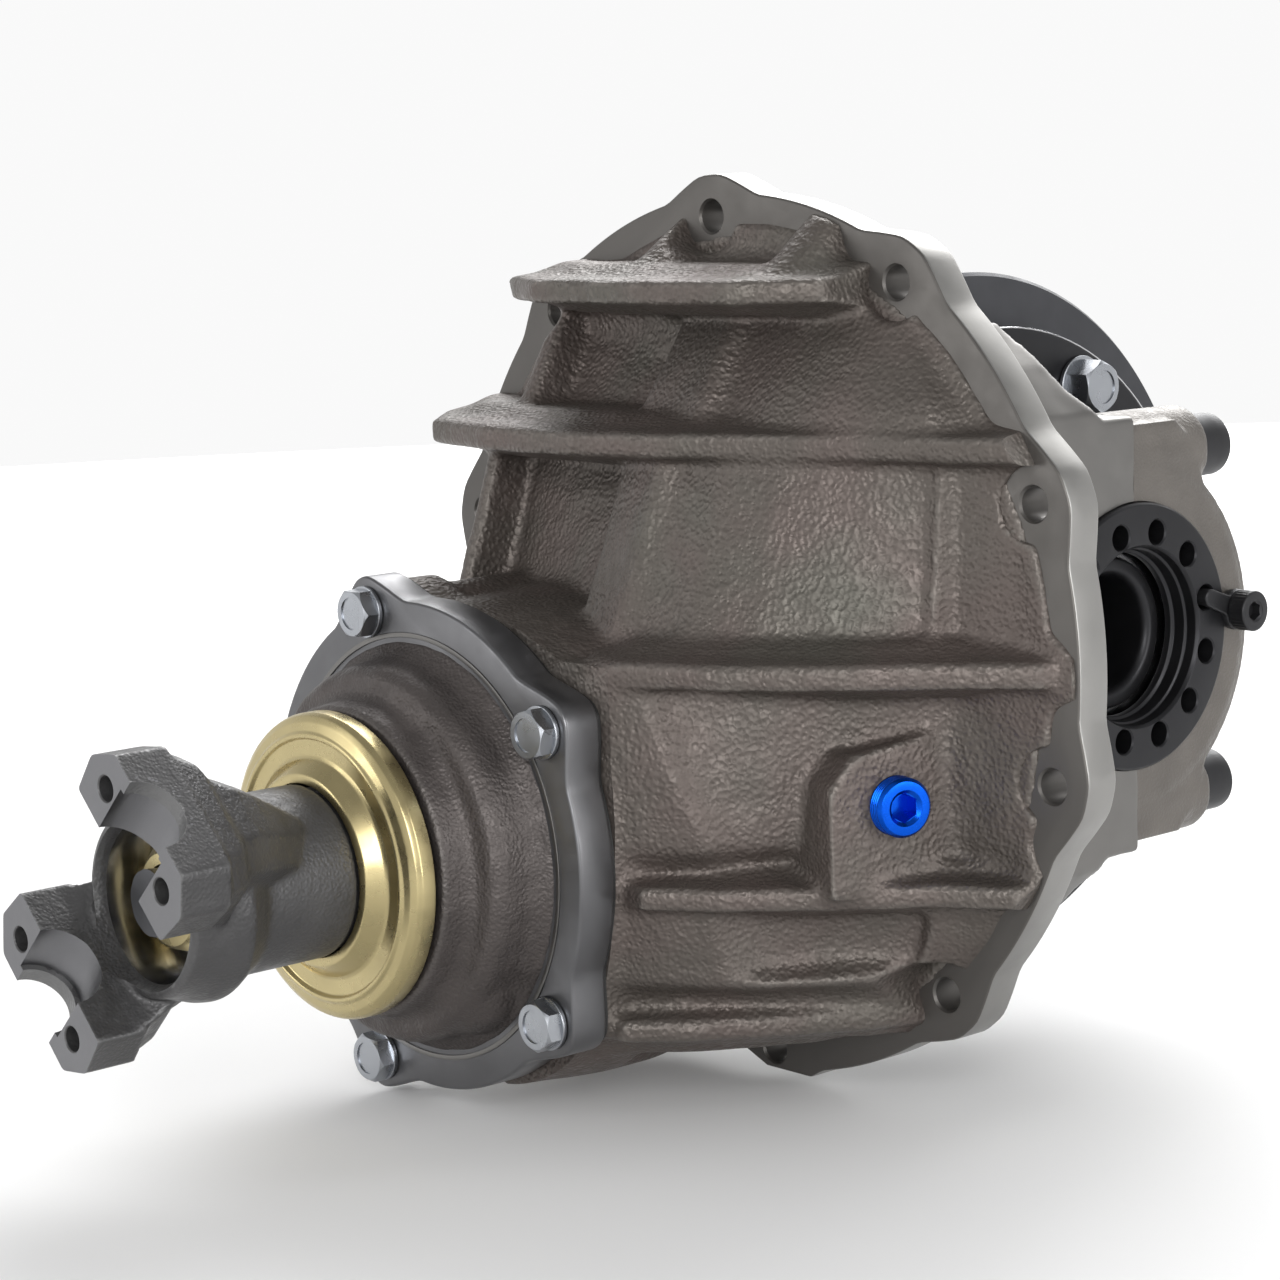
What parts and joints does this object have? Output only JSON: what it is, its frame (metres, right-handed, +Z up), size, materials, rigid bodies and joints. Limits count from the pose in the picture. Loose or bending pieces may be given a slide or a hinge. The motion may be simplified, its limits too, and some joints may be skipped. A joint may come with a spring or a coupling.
{
  "type": "differential centre section",
  "caption": "Drop-out differential centre section of a rear axle: ribbed iron gear case with bolted flange, pinion and yoke, ring gear, differential and bearing caps.",
  "frame": {"origin": "centre of the gear case's bolted flange, on the face that meets the axle housing", "axes": "+X along the axle, towards the side that the ring gear backs on to; +Y into the axle housing, away from the yoke; +Z up"},
  "size_m": [0.2916, 0.41, 0.2954],
  "materials": {
    "cast_iron": "as-cast pebbled skin, bare, with machined faces",
    "forged_steel": "dark forged skin with machined pads",
    "machined_steel": "fine turned",
    "gear_steel": "dark phosphate",
    "black_oxide_steel": "satin black oxide",
    "bright_zinc_steel": "bright zinc plate",
    "gold_zinc_steel": "yellow zinc plate",
    "bearing_steel": "ground",
    "blue_anodised_aluminium": "blue anodised",
    "black_rubber": "matt"
  },
  "bodies": {
    "housing": {"gear_case": "cast_iron", "fill_plug": "blue_anodised_aluminium", "bearing_cap_left": "cast_iron", "cap_bolt_left_upper": "black_oxide_steel", "cap_bolt_left_lower": "black_oxide_steel", "adjuster_left": "black_oxide_steel", "adjuster_lock_left": "black_oxide_steel", "lock_screw_left": "black_oxide_steel", "side_bearing_left_cup": "bearing_steel", "bearing_cap_right": "cast_iron", "cap_bolt_right_upper": "black_oxide_steel", "cap_bolt_right_lower": "black_oxide_steel", "adjuster_right": "black_oxide_steel", "adjuster_lock_right": "black_oxide_steel", "lock_screw_right": "black_oxide_steel", "side_bearing_right_cup": "bearing_steel", "pinion_support": "cast_iron", "pinion_depth_shim": "machined_steel", "support_seal_ring": "black_rubber", "pinion_support_bolt_1": "bright_zinc_steel", "pinion_support_bolt_2": "bright_zinc_steel", "pinion_support_bolt_3": "bright_zinc_steel", "pinion_support_bolt_4": "bright_zinc_steel", "pinion_support_bolt_5": "bright_zinc_steel", "pinion_oil_seal": "black_rubber", "rear_pinion_bearing_cup": "bearing_steel", "front_pinion_bearing_cup": "bearing_steel", "pilot_bearing_cup": "bearing_steel"},
    "pinion": {"pinion_gear": "gear_steel", "rear_pinion_bearing_cone": "bearing_steel", "front_pinion_bearing_cone": "bearing_steel", "pinion_bearing_spacer": "machined_steel", "pinion_yoke": "forged_steel", "dust_shield": "gold_zinc_steel", "pinion_washer": "gold_zinc_steel", "pinion_nut": "gold_zinc_steel"},
    "carrier": {"ring_gear": "gear_steel", "differential_case": "black_oxide_steel", "ring_gear_bolt_1": "bright_zinc_steel", "ring_gear_bolt_2": "bright_zinc_steel", "ring_gear_bolt_3": "bright_zinc_steel", "ring_gear_bolt_4": "bright_zinc_steel", "ring_gear_bolt_5": "bright_zinc_steel", "ring_gear_bolt_6": "bright_zinc_steel", "ring_gear_bolt_7": "bright_zinc_steel", "ring_gear_bolt_8": "bright_zinc_steel", "ring_gear_bolt_9": "bright_zinc_steel", "ring_gear_bolt_10": "bright_zinc_steel", "cross_pin": "machined_steel", "side_bearing_left_cone": "bearing_steel", "side_bearing_right_cone": "bearing_steel"},
    "side_gear_left": {"side_gear_left": "gear_steel"},
    "side_gear_right": {"side_gear_right": "gear_steel"},
    "spider_gear_upper": {"spider_gear_upper": "gear_steel"},
    "spider_gear_lower": {"spider_gear_lower": "gear_steel"},
    "left_side_rollers": {"side_bearing_left_rollers": "machined_steel"},
    "right_side_rollers": {"side_bearing_right_rollers": "machined_steel"},
    "rear_pinion_rollers": {"rear_pinion_bearing_rollers": "machined_steel"},
    "front_pinion_rollers": {"front_pinion_bearing_rollers": "machined_steel"},
    "pilot_rollers": {"pilot_bearing_rollers": "machined_steel"}
  },
  "joints": [
    {"name": "carrier_spin", "type": "hinge", "parent": "housing", "child": "carrier", "pos_m": [0, 0.0623, 0], "axis": [1, 0, 0], "continuous": true},
    {"name": "pinion_spin", "type": "hinge", "parent": "housing", "child": "pinion", "pos_m": [-0.0505, 0, -0.06045], "axis": [0, 1, 0], "continuous": true},
    {"name": "side_gear_left_spin", "type": "hinge", "parent": "carrier", "child": "side_gear_left", "pos_m": [-0.003, 0.0623, 0], "axis": [1, 0, 0], "continuous": true},
    {"name": "side_gear_right_spin", "type": "hinge", "parent": "carrier", "child": "side_gear_right", "pos_m": [-0.003, 0.0623, 0], "axis": [1, 0, 0], "continuous": true},
    {"name": "spider_gear_upper_spin", "type": "hinge", "parent": "carrier", "child": "spider_gear_upper", "pos_m": [-0.003, 0.0623, 0], "axis": [0, 0, 1], "continuous": true},
    {"name": "spider_gear_lower_spin", "type": "hinge", "parent": "carrier", "child": "spider_gear_lower", "pos_m": [-0.003, 0.0623, 0], "axis": [0, 0, 1], "continuous": true},
    {"name": "left_side_rollers_spin", "type": "hinge", "parent": "housing", "child": "left_side_rollers", "pos_m": [-0.083, 0.0623, 0], "axis": [1, 0, 0], "continuous": true},
    {"name": "right_side_rollers_spin", "type": "hinge", "parent": "housing", "child": "right_side_rollers", "pos_m": [0.083, 0.0623, 0], "axis": [1, 0, 0], "continuous": true},
    {"name": "rear_pinion_rollers_spin", "type": "hinge", "parent": "housing", "child": "rear_pinion_rollers", "pos_m": [-0.0505, -0.0616, -0.06045], "axis": [0, 1, 0], "continuous": true},
    {"name": "front_pinion_rollers_spin", "type": "hinge", "parent": "housing", "child": "front_pinion_rollers", "pos_m": [-0.0505, -0.1203, -0.06045], "axis": [0, 1, 0], "continuous": true},
    {"name": "pilot_rollers_spin", "type": "hinge", "parent": "housing", "child": "pilot_rollers", "pos_m": [-0.0505, 0.0125, -0.06045], "axis": [0, 1, 0], "continuous": true}
  ],
  "couplings": [
    {"joint": "pinion_spin", "follows": "carrier_spin", "ratio": 3.8889},
    {"joint": "side_gear_right_spin", "follows": "side_gear_left_spin", "ratio": -1},
    {"joint": "spider_gear_upper_spin", "follows": "side_gear_left_spin", "ratio": 1.8},
    {"joint": "spider_gear_lower_spin", "follows": "side_gear_left_spin", "ratio": -1.8},
    {"joint": "left_side_rollers_spin", "follows": "carrier_spin", "ratio": 0.45},
    {"joint": "right_side_rollers_spin", "follows": "carrier_spin", "ratio": 0.45},
    {"joint": "rear_pinion_rollers_spin", "follows": "carrier_spin", "ratio": 1.6294},
    {"joint": "front_pinion_rollers_spin", "follows": "carrier_spin", "ratio": 1.5594},
    {"joint": "pilot_rollers_spin", "follows": "carrier_spin", "ratio": 1.5828}
  ]
}
